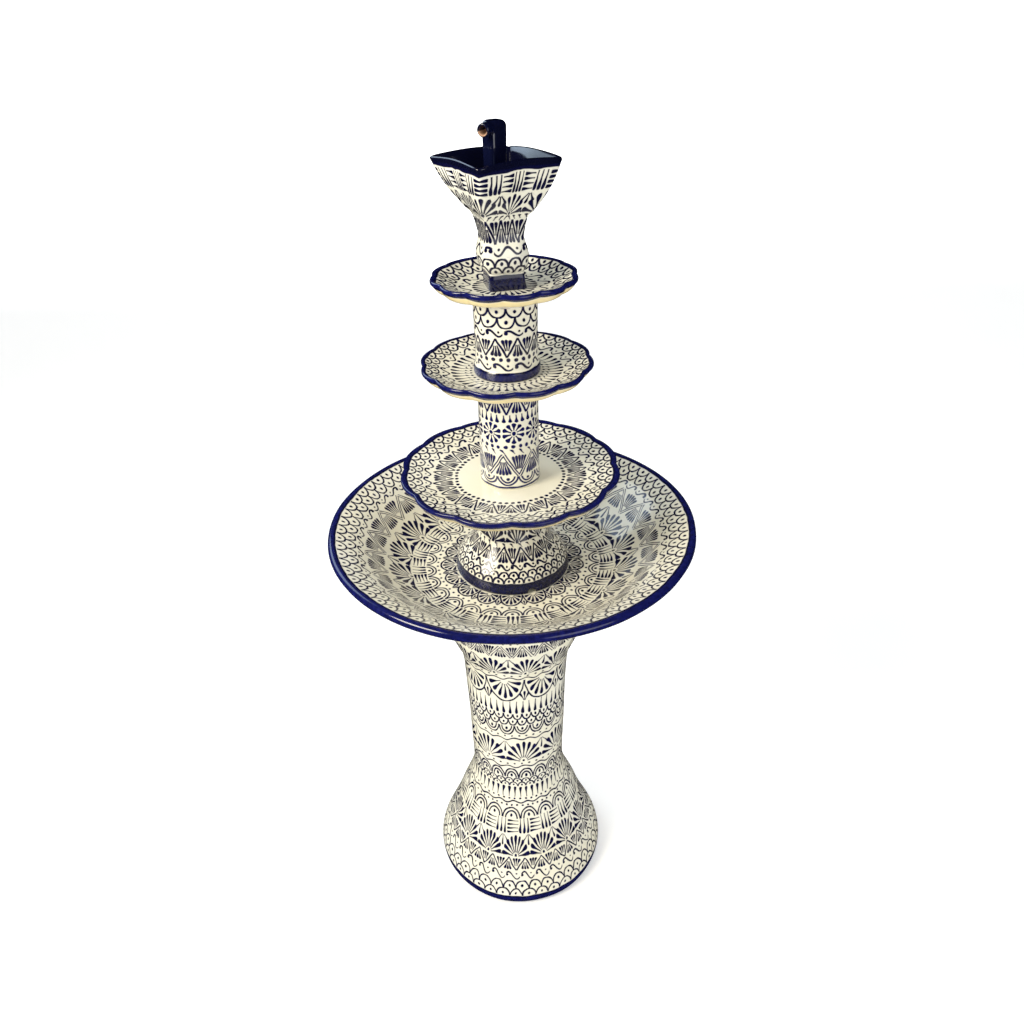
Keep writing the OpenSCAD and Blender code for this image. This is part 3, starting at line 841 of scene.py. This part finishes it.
# The bowl's sections: height, corner radius, turn of the front corner, squareness, hollow of the sides.
BOWL_OUTSIDE = [
    (0, 35.6, -33, 12.6, 0), (1.2, 36.4, -33, 12.6, 0), (21, 34, -33, 12.6, 0), (22.5, 33, -33, 11.2, 0),
    (24.5, 32.6, -33, 7, 0), (27, 35.3, -32, 4, 0), (31, 37.6, -32, 3.4, 0), (36, 39, -32, 3.2, 0),
    (47, 40.4, -31, 3, 0), (57, 38.5, -30, 3.4, 0), (66, 36.2, -29, 4.5, 0), (73, 36, -28.5, 10.45, 0),
    (80, 37.5, -28, 11.4, 0.01), (90, 40, -27.5, 13.3, 0.02), (97, 42.4, -27, 13.3, 0.02),
    (101, 44.5, -26, 15.2, 0.02), (106, 51, -25, 15.2, 0.02), (117, 60.5, -22, 16.15, 0.025),
    (128, 69, -19, 17.1, 0.03), (139, 76, -17, 18.05, 0.035), (150, 81.5, -15, 19, 0.03),
    (159, 85.5, -14, 19, 0.03), (166, 88.3, -13.5, 19, 0.03), (170.5, 90.2, -13, 19, 0.03),
    (172.2, 90, -13, 19, 0.03)]
BOWL_INSIDE = [
    (173.2, 87.5, -13, 19, 0.03), (172.4, 84.4, -13, 19, 0.03), (166, 79.5, -13.5, 19, 0.03),
    (150, 71, -15, 17.1, 0.03), (132, 58, -18, 15.2, 0.03), (120, 40, -21, 11.4, 0.02),
    (116.4, 24, -22, 7.6, 0)]
BOWL_TALL = 173
BOWL_LEAN = 8             # how far it leans to the left at the lip
# Its round bore from the top down: radius, place of the middle, height.
BOWL_BORE = [
    (3.8, -BOWL_LEAN, 116), (3.8, -BOWL_LEAN, 106), (12, 0, 106), (12, 0, 4.5),
    (15.5, 0, 4), (15.5, 0, 0.4), (16, 0, 0)]
BOWL_FRONT = -30          # the turn of the front of its bore
BOWL_SIDE = 0.75          # how far out the middle of a side is, as a share of the corner
LIP_FROM = 100            # the height where the sides start to stand above the corners
LIP_RISE = 4.6
SQUARE_POINTS = 160


def square_reach(angle, squareness, hollow):
    """The radius of a rounded square at an angle from its corner, as a share of the corner's."""
    c, s = abs(math.cos(angle + math.pi / 4)), abs(math.sin(angle + math.pi / 4))
    norm = (c ** squareness + s ** squareness) ** (1 / squareness)
    corner = (2 * math.sqrt(0.5) ** squareness) ** (1 / squareness)
    return corner / norm * (1 - hollow * (1 - math.cos(4 * angle)) / 2)


def bowl_point(section, a):
    """The point of a section at the angle a from its front corner."""
    height, corner_r, front, squareness, hollow = section
    turn = math.radians(front - 90) + a
    rising = max(0.0, (height - LIP_FROM) / (BOWL_TALL - LIP_FROM)) ** 3
    lip = LIP_RISE * rising * abs(math.sin(2 * a)) ** 0.6
    r = corner_r * square_reach(a, squareness, hollow)
    return Vector((r * math.cos(turn) - BOWL_LEAN * height / BOWL_TALL, r * math.sin(turn), height + lip))


def round_section(radius, x, height, a):
    """The point of a round section at the angle a from the front."""
    turn = math.radians(BOWL_FRONT - 90) + a
    return Vector((x + radius * math.cos(turn), radius * math.sin(turn), height))


def ringed(rings, sides):
    """A skin drawn up ring by ring. rings are functions from an angle to a point, with a distance along."""
    bm = bmesh.new()
    bmesh.ops.create_circle(bm, segments=sides, radius=1)
    bm.verts.ensure_lookup_table()
    angle = bm.verts.layers.float.new("angle")
    along_layer = bm.verts.layers.float.new("along")
    across = bm.verts.layers.float.new("across")
    for vert in bm.verts:
        a = math.atan2(vert.co.y, vert.co.x) % TAU
        vert[angle] = a
        vert[across] = abs((a / TAU * 4) % 1 * 2 - 1)
    loop = list(bm.edges)
    first = loop
    for number, (ring, along) in enumerate(rings):
        if number:
            pushed = bmesh.ops.extrude_edge_only(bm, edges=loop)["geom"]
            loop = [g for g in pushed if isinstance(g, bmesh.types.BMEdge) and g.is_boundary]
        for vert in {v for edge in loop for v in edge.verts}:
            vert.co = ring(vert[angle])
            vert[along_layer] = along
    return bm, first, loop


def bowl_mesh(o):
    """The bowl's skin: up the outside, down the hollow, and back through the bore to the foot."""
    rings = [(partial(bowl_point, section), along)
             for section, along in zip(BOWL_OUTSIDE + BOWL_INSIDE, o.along)]
    for number, (radius, x, height) in enumerate(BOWL_BORE):
        rings.append((partial(round_section, radius, x, height), o.along[-1] + 10 + number))
    bm, first, last = ringed(rings, SQUARE_POINTS)
    bmesh.ops.bridge_loops(bm, edges=first + last)
    bmesh.ops.recalc_face_normals(bm, faces=bm.faces)
    foot = foot_of("top_bowl")
    for vert in bm.verts:
        in_wall = math.hypot(vert.co.x, vert.co.y) > 20
        wobble = noise.noise(vert.co * 0.02) * 0.5 if in_wall else 0
        vert.co = Vector((vert.co.x + wobble, vert.co.y + wobble, vert.co.z + foot)) * MM
    return bm


def bowl_paint(o):
    """Rows that run round four sides, a blue foot, a near-black hollow and lip, and a bare bore."""
    at = o.height
    rows = [
        (scales, at(25), at(48), 12, 0.5, 36),
        (scrolls, at(49), at(65), 8, 0.25, 33),
        (zigzag, at(66), at(98), 12, 0.5, 34),
        (darts, at(99), at(105), 32, 0.1, 45),
        (palmettes, at(106), at(135), 8, 0.5, 56),
        (basket, at(136), at(160), 12, 0.25, 70),
        (waved_band, at(161), at(168), 12, 0.0, 80),
    ]
    lip, end = o.along[len(BOWL_OUTSIDE) - 2], o.along[-1]
    f = Finish("bowl_paint")
    stray_turn, stray_along, press = f.parts(f.noise(42.0, 1.0, "Color"))
    along = f.attribute("along") + (stray_along - 0.5) * 3.0
    turn = f.attribute("across") / 8 + (stray_turn - 0.5) * (3.2 / (TAU * 60))
    # The bowl's ink is darkened all over: painted shade.
    return glazed(f, along, turn, press, rows, violet=-0.4, heavy=0.2, solid=[(-5, at(22))],
                  bare=[(end + 12, end + 30)], dark=[(lip - 5, end + 12)])


def make_top_bowl():
    o = Outline([(BOWL_SIDE * section[1], section[0]) for section in BOWL_OUTSIDE + BOWL_INSIDE])
    bm = bowl_mesh(o)
    return shown("top_bowl_pottery", bm, "top_bowl", ["top_bowl"], bowl_paint(o))


SPOUT_TURN = 12           # how far its front corner turns left, in degrees
SPOUT_R = 16.5            # from its middle to a corner
NOZZLE_TURN, NOZZLE_DIP = 30, 4
NOZZLE_HEIGHT = 211       # above the bowl's foot
NOZZLE_R, NOZZLE_LENGTH = 8.8, 30
NOZZLE_BORE_R, NOZZLE_BORE = 5.4, 20
NOZZLE_LIP = 1.7          # the radius of its rounded lip


def nozzle_place():
    """Where the nozzle starts, with Z along it, in millimetres."""
    root = Matrix.Translation((-BOWL_LEAN, 0, foot_of("top_bowl") + NOZZLE_HEIGHT))
    return (root @ Matrix.Rotation(math.radians(-NOZZLE_TURN), 4, "Z")
            @ Matrix.Rotation(math.radians(90 + NOZZLE_DIP), 4, "X"))


def pillar():
    """The spout's square pillar: soft corners, a little slack in its sides, and rounded over at the top."""
    foot, head = foot_of("spout"), head_of("spout")
    tall = head - foot
    profile = [(0, 1.02), (3, 1.0), (25, 0.97), (50, 0.96), (75, 0.98), (85, 1.0)]
    profile += [(tall - 9 * (1 - math.sin(a)), 1.02 - 0.5 * (1 - math.cos(a)))
                for a in (math.radians(d) for d in range(10, 91, 10))]

    def ring(height, share):
        def point(a):
            r = SPOUT_R * share * square_reach(a, 5, 0)
            turn = math.radians(-SPOUT_TURN - 90) + a
            return Vector((r * math.cos(turn) - BOWL_LEAN, r * math.sin(turn), foot + height))
        return point
    bm, first, last = ringed([(ring(h, share), 0) for h, share in profile], 48)
    bmesh.ops.contextual_create(bm, geom=first)
    bmesh.ops.contextual_create(bm, geom=last)
    return bm


def make_spout():
    bm = pillar()
    tube = bmesh.new()
    lip = [(NOZZLE_BORE_R + NOZZLE_LIP + NOZZLE_LIP * math.cos(a),
            NOZZLE_LENGTH - NOZZLE_LIP + NOZZLE_LIP * math.sin(a))
           for a in (math.radians(d) for d in range(0, 181, 30))]
    side = [(0, 0), (NOZZLE_R - 0.6, 0), (NOZZLE_R - 0.4, 14), (NOZZLE_R, NOZZLE_LENGTH - 4)]
    bore = [(NOZZLE_BORE_R, NOZZLE_LENGTH - NOZZLE_BORE), (0, NOZZLE_LENGTH - NOZZLE_BORE)]
    chain = [tube.verts.new((r, 0, z)) for r, z in side + lip + bore]
    edges = [tube.edges.new(pair) for pair in zip(chain, chain[1:])]
    bmesh.ops.spin(tube, geom=chain + edges, cent=(0, 0, 0), axis=(0, 0, 1), dvec=(0, 0, 0), angle=TAU,
                   steps=40, use_merge=True)
    bmesh.ops.remove_doubles(tube, verts=tube.verts, dist=1e-4)
    bmesh.ops.transform(tube, matrix=nozzle_place(), verts=tube.verts)
    for part in (bm, tube):
        bmesh.ops.recalc_face_normals(part, faces=part.faces)
        bmesh.ops.scale(part, vec=(MM, MM, MM), verts=part.verts)
    bm = with_modifier(bm, "BOOLEAN", operation="UNION", solver="EXACT", object=tube)
    bm = with_modifier(bm, "REMESH", mode="VOXEL", voxel_size=0.9 * MM)
    for _ in range(2):
        bmesh.ops.smooth_vert(bm, verts=bm.verts, factor=0.5, use_axis_x=True, use_axis_y=True,
                              use_axis_z=True)
    return shown("spout_pottery", bm, "top_bowl", ["spout"], spout_glaze())


def spout_glaze():
    """Near-black navy with paler pools, and bare clay in the lower half of the nozzle's bore; the bore's
    upper half stays near-black, partly navy glaze and partly painted shade.
    """
    f = Finish("spout_glaze")
    place = nozzle_place()
    root, along_axis = place.to_translation() * MM, place.to_3x3() @ Vector((0, 0, 1))
    from_root = f.node("VectorMath", {"operation": "SUBTRACT"}, {0: f.place, 1: root})
    along = f.node("VectorMath", {"operation": "DOT_PRODUCT"}, {0: from_root, 1: along_axis}, "Value") / MM
    length = f.node("VectorMath", {"operation": "LENGTH"}, {0: from_root}, "Value") / MM
    off_axis = (length * length - along * along).most(0.0).root()
    height = f.parts(from_root)[2] / MM + along * math.sin(math.radians(NOZZLE_DIP))
    ragged = (f.noise(260.0, 3.0) - 0.5) * 3.0
    inside = (NOZZLE_BORE_R + NOZZLE_LIP - off_axis + ragged * 0.3).least(along - 9)
    # Clay shows only below the nozzle's axis, where light reaches the bore: the dark upper half is partly
    # painted shade.
    lit_lower_clay_mask = (inside.least(-1.2 - height + ragged) * 1.2 + 0.5).clamped()
    pool = f.noise(30.0, 3.0)
    tint = f.mix((pool * 1.6 - 0.5).clamped(), NIGHT, colour(14, 20, 52))
    clay = f.mix(f.noise(300.0, 3.0), BORE_CLAY, BORE_CLAY_PALE)
    return f.surface(Base_Color=f.mix(lit_lower_clay_mask, tint, clay), Roughness=0.1 + pool * 0.08 + lit_lower_clay_mask * 0.6,
                     Coat_Weight=0.8 - lit_lower_clay_mask * 0.8, Coat_Roughness=0.05,
                     Normal=f.bump(pool + f.noise(220.0, 2.0) * 0.25, 0.3, 0.0008))


def make_all():
    make_pedestal()
    make_basin()
    make_riser()
    make_plate("plate_large", rim=178, rows_of=large_rows, turned_by=0, depth=6.6)
    make_plate("plate_medium", rim=131.5, rows_of=medium_rows, turned_by=5, depth=5.6)
    make_plate("plate_small", rim=107.5, rows_of=small_rows, turned_by=-2, depth=5.2)
    make_column("column_lower", [(48, 0), (48.5, 2), (48, 6), (47.5, 30), (46.8, 100), (46.6, 166)],
                lower_rows, violet=0.35)
    make_column("column_upper", [(49.6, 0), (50.4, 1.5), (50.5, 11.5), (49.6, 13.4), (47.4, 15.5),
                                 (47, 22), (47, 60), (47, 113)], upper_rows, violet=0.0, band=14)
    make_top_bowl()
    make_spout()


make_all()


# ---------------------------------------------------------------- finishes of the CAD nodes

def moulded(name, main, second, rough, grain, bump=0.25, coat=0.0, metal=0.0):
    """A moulded or pressed finish: a fine grain, faint flow marks and worn, dusty patches."""
    f = Finish(name)
    fine, broad = f.noise(grain, 3.0), f.noise(35.0, 3.0)
    tint = f.mix((broad * 1.7 - 0.4).clamped(), main, second)
    return f.surface(Base_Color=tint, Roughness=rough + (fine - 0.5) * 0.12 + (broad - 0.5) * 0.1,
                     Coat_Weight=coat, Metallic=metal, Normal=f.bump(fine + broad * 0.3, bump, 0.0003))


def clear_tube():
    """Clear vinyl with a little haze."""
    f = Finish("clear_tube_vinyl")
    haze = f.noise(60.0, 3.0)
    return f.surface(Base_Color=f.mix(haze, colour(226, 238, 240), colour(240, 246, 246)),
                     Roughness=0.12 + haze * 0.1, Transmission_Weight=0.85, IOR=1.45,
                     Normal=f.bump(haze, 0.2, 0.0004))


def brushed(name, main, second, rough):
    """Metal drawn or rolled in one direction."""
    f = Finish(name)
    stretched = f.node("Mapping", None, {"Vector": f.place, "Scale": (40.0, 40.0, 900.0)})
    streak = f.node("TexNoise", None, {"Vector": stretched, "Scale": 1.0, "Detail": 3.0})
    return f.surface(Base_Color=f.mix(streak, main, second), Metallic=1.0,
                     Roughness=rough + (streak - 0.5) * 0.2, Normal=f.bump(streak, 0.15, 0.0002))


def laminated():
    """A stack of thin steel sheets, seen on edge."""
    f = Finish("laminated_core")
    sheets = abs((f.parts(f.place)[2] * 2000.0).fraction() - 0.5)
    gap = (0.12 - sheets).clamped() * 8
    rust = f.noise(120.0, 4.0)
    tint = f.mix((rust * 2 - 0.9).clamped() * 0.5, colour(122, 124, 128), colour(120, 84, 60))
    return f.surface(Base_Color=f.mix(gap, tint, colour(44, 44, 48)), Metallic=0.9,
                     Roughness=0.4 + rust * 0.2, Normal=f.bump(1.0 - gap, 0.4, 0.0004))


def wound_copper():
    """Turns of enamelled wire side by side, painted darker in the grooves and paler on the crests: painted
    shade and highlight.
    """
    f = Finish("winding_copper")
    turns = ((f.parts(f.place)[0] * 1700.0 + f.noise(90.0, 2.0) * 0.4) * TAU).op("SINE")
    # The copper's colour follows the round of each turn: painted shade in the grooves and painted highlight
    # on the crests.
    tint = f.mix(turns * 0.5 + 0.5, colour(104, 46, 20), colour(206, 120, 66))
    return f.surface(Base_Color=tint, Metallic=0.85, Roughness=0.28 - turns * 0.05, Coat_Weight=0.5,
                     Normal=f.bump(turns, 0.6, 0.0004))


def open_foam():
    """Sponge with open cells, painted darkest where they are deepest: painted shade in the hollows."""
    f = Finish("foam_sponge")
    cells = f.node("TexVoronoi", None, {"Vector": f.place, "Scale": 620.0}, "Distance")
    height = (cells * 1.6).clamped()
    # The sponge's colour follows the depth of its cells: painted shade.
    return f.surface(Base_Color=f.mix(height, colour(20, 22, 26), colour(62, 68, 78)),
                     Roughness=0.95 - height * 0.1, Normal=f.bump(height, 0.9, 0.0008))


def finish_cad_nodes():
    """Every node that still shows takes its slot's finish."""
    finishes = {
        "black_rubber": moulded("rubber", colour(24, 24, 26), colour(38, 38, 40), 0.62, 900.0),
        "clear_vinyl": clear_tube(),
        "clamp_steel": brushed("clamp", colour(172, 174, 178), colour(206, 208, 210), 0.3),
        "pump_plastic": moulded("pump_shell", colour(26, 28, 32), colour(40, 43, 48), 0.45, 1300.0, 0.35),
        "dial_plastic": moulded("dial_blue", colour(30, 70, 168), colour(44, 88, 190), 0.32, 1100.0, 0.2,
                                coat=0.2),
        "impeller_plastic": moulded("impeller_white", colour(226, 226, 220), colour(238, 238, 234), 0.36,
                                    900.0, 0.2),
        "magnet": moulded("sintered_magnet", colour(44, 44, 48), colour(66, 66, 70), 0.5, 1500.0, 0.4,
                          metal=0.6),
        "shaft_ceramic": moulded("shaft_white", colour(236, 234, 226), colour(246, 245, 240), 0.16, 700.0,
                                 0.1, coat=0.6),
        "core_steel": laminated(),
        "copper_winding": wound_copper(),
        "sponge": open_foam(),
    }
    for part in frame["record"]["subparts"]:
        finish = finishes.get(part["material_slot"])
        if finish:
            mesh = NODES[part["node"]].data
            mesh.materials.clear()
            mesh.materials.append(finish)


finish_cad_nodes()


# ---------------------------------------------------------------- studio

def make_floor():
    """A pale floor that sweeps up into the backdrop."""
    bm = bmesh.new()
    edge = [bm.edges.new([bm.verts.new((x, -6, 0)) for x in (-12, 12)])]
    sweep = [(7 + 3 * math.sin(a), 3 - 3 * math.cos(a)) for a in (math.radians(d) for d in range(0, 91, 5))]
    for y, z in sweep + [(10, 12)]:
        pushed = bmesh.ops.extrude_edge_only(bm, edges=edge)["geom"]
        edge = [g for g in pushed if isinstance(g, bmesh.types.BMEdge) and len(g.link_faces) == 1
                and all(v in pushed for v in g.verts)]
        for vert in {v for e in edge for v in e.verts}:
            vert.co.y, vert.co.z = y, z
    bmesh.ops.recalc_face_normals(bm, faces=bm.faces)
    mesh = bpy.data.meshes.new("floor")
    bm.to_mesh(mesh)
    bm.free()
    for face in mesh.polygons:
        face.use_smooth = True
    floor = bpy.data.objects.new("floor", mesh)
    bpy.context.scene.collection.objects.link(floor)
    f = Finish("studio_floor")
    grain = f.noise(3.0, 3.0)
    tint = f.mix(grain, colour(244, 244, 244), colour(247, 247, 246))
    mesh.materials.append(f.surface(Base_Color=tint, Roughness=0.8, Specular_IOR_Level=0.1,
                                    Emission_Color=(1.0, 0.99, 0.96, 1.0), Emission_Strength=0.3))
    floor.visible_glossy = False


def make_light(name, place, aim, size, power, tint):
    light = bpy.data.lights.new(name, "AREA")
    light.shape, light.size, light.energy, light.color = "DISK", size, power, tint
    lamp = bpy.data.objects.new(name, light)
    bpy.context.scene.collection.objects.link(lamp)
    lamp.location = place
    lamp.rotation_euler = (Vector(aim) - Vector(place)).to_track_quat("-Z", "Y").to_euler()


def make_world():
    world = bpy.data.worlds.new("studio")
    bpy.context.scene.world = world
    world.use_nodes = True
    world.node_tree.nodes["Background"].inputs["Color"].default_value = (0.93, 0.96, 1.0, 1)
    world.node_tree.nodes["Background"].inputs["Strength"].default_value = 0.56
    world.cycles_visibility.glossy = False
    bpy.context.scene.view_settings.view_transform = "Standard"


CAMERA_AT = (0, -1.1664, 1.5653)
CAMERA_TILT, CAMERA_ROLL = 59.19, -1.67


def make_camera():
    """A camera a little above the spout, looking down on the plates."""
    camera = bpy.data.cameras.new("camera")
    camera.lens, camera.sensor_width = 29.03, 36.0
    camera.shift_x, camera.shift_y = 0.0013, -0.0217
    eye = bpy.data.objects.new("camera", camera)
    bpy.context.scene.collection.objects.link(eye)
    eye.matrix_world = (Matrix.Translation(CAMERA_AT)
                        @ Matrix.Rotation(math.radians(CAMERA_TILT), 4, "X")
                        @ Matrix.Rotation(math.radians(CAMERA_ROLL), 4, "Z"))
    bpy.context.scene.camera = eye


make_floor()
make_world()
make_light("key", (-1.7, -1.0, 2.3), aim=(0, 0, 1.1), size=1.1, power=58, tint=(1.0, 0.93, 0.79))
make_light("fill", (1.6, -2.4, 1.5), aim=(0, 0, 0.8), size=2.0, power=21, tint=(0.97, 0.98, 1.0))
make_light("sky", (-1.7, 1.3, 2.2), aim=(0, 0, 0.9), size=1.5, power=18, tint=(0.66, 0.82, 1.0))
make_light("backdrop", (0, 4.5, 3.5), aim=(0, 9, 2.5), size=3.0, power=420, tint=(1.0, 1.0, 1.0))
make_camera()
